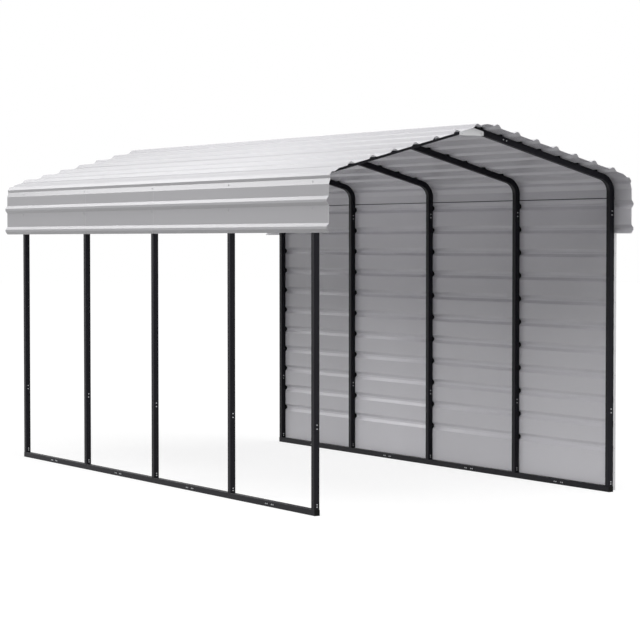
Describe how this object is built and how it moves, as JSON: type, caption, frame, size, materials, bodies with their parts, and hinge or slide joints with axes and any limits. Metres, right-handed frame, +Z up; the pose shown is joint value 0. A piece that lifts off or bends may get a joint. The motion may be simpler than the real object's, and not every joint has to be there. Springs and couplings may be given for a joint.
{
  "type": "carport",
  "caption": "Open steel carport: bents of square black tube on ground rails, under a low-pitched roof of ribbed metal sheet that wraps both eaves, with one side clad in the same sheet.",
  "frame": {"origin": "on the ground, half-way along the roof and half-way across it", "axes": "+X to the clad side, +Y from the front opening to the rear one along the ridge, +Z up"},
  "size_m": [3.1966, 6.261, 3.2144],
  "materials": {
    "black_tube": "black powder coat, satin, on square steel tube",
    "roof_sheet": "light grey coated steel sheet, satin",
    "wall_sheet": "light grey coated steel sheet, satin",
    "edge_trim": "light grey coated steel angle",
    "peak_plate": "plain pale grey plate, bare of any mark",
    "cap_plastic": "black moulded plug",
    "zinc_screw": "bright zinc plated self-drilling screws"
  },
  "bodies": {
    "root": {"base_rail_left": "black_tube", "base_rail_right": "black_tube", "eave_sheet_left": "roof_sheet", "eave_sheet_right": "roof_sheet", "leg_left_1": "black_tube", "leg_left_2": "black_tube", "leg_left_3": "black_tube", "leg_left_4": "black_tube", "leg_left_5": "black_tube", "leg_right_1": "black_tube", "leg_right_2": "black_tube", "leg_right_3": "black_tube", "leg_right_4": "black_tube", "leg_right_5": "black_tube", "leg_stubs_left": "black_tube", "leg_stubs_right": "black_tube", "peak_connector_1": "black_tube", "peak_connector_2": "black_tube", "peak_connector_3": "black_tube", "peak_connector_4": "black_tube", "peak_connector_5": "black_tube", "peak_plate": "peak_plate", "rafter_left_1": "black_tube", "rafter_left_2": "black_tube", "rafter_left_3": "black_tube", "rafter_left_4": "black_tube", "rafter_left_5": "black_tube", "rafter_right_1": "black_tube", "rafter_right_2": "black_tube", "rafter_right_3": "black_tube", "rafter_right_4": "black_tube", "rafter_right_5": "black_tube", "rail_end_caps": "cap_plastic", "ridge_sheet": "roof_sheet", "roof_sheet_left_lower": "roof_sheet", "roof_sheet_left_upper": "roof_sheet", "roof_sheet_right_lower": "roof_sheet", "roof_sheet_right_upper": "roof_sheet", "wall_sheet_1": "wall_sheet", "wall_sheet_2": "wall_sheet", "wall_sheet_3": "wall_sheet", "wall_sheet_4": "wall_sheet", "wall_trim_back": "edge_trim", "wall_trim_front": "edge_trim"}
  },
  "joints": []
}
